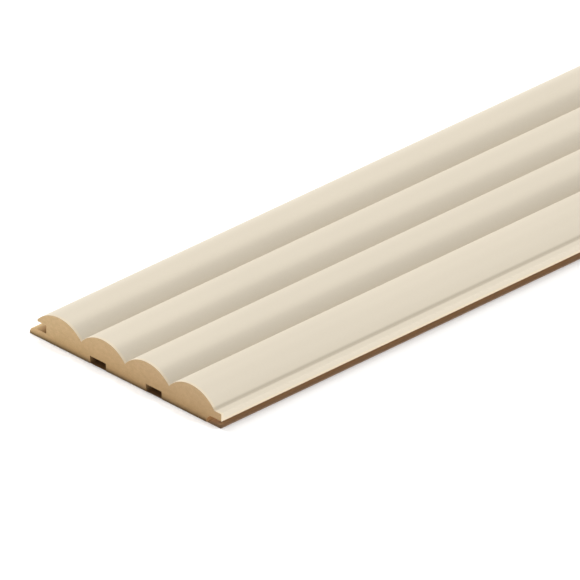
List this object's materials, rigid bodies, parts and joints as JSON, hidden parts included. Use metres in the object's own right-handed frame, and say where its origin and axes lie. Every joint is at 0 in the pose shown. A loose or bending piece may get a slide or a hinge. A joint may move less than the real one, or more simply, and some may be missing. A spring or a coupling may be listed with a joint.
{
  "type": "slat wall panel",
  "caption": "Long reeded wall panel of film-wrapped fibreboard, with a tongue along one edge, a groove with a longer lower lip along the other, and relief channels in its back.",
  "frame": {"origin": "on the back face, at the middle of the length and of the overall width", "axes": "+X across the reeds from the grooved edge to the tongued edge, +Y along the panel, +Z out of the reeded face, so the panel lies face up"},
  "size_m": [0.13, 2.7, 0.016],
  "materials": {
    "fibreboard": "matte",
    "film": "satin"
  },
  "bodies": {
    "root": {"mdf_core": "fibreboard", "face_film": "film"}
  },
  "joints": []
}
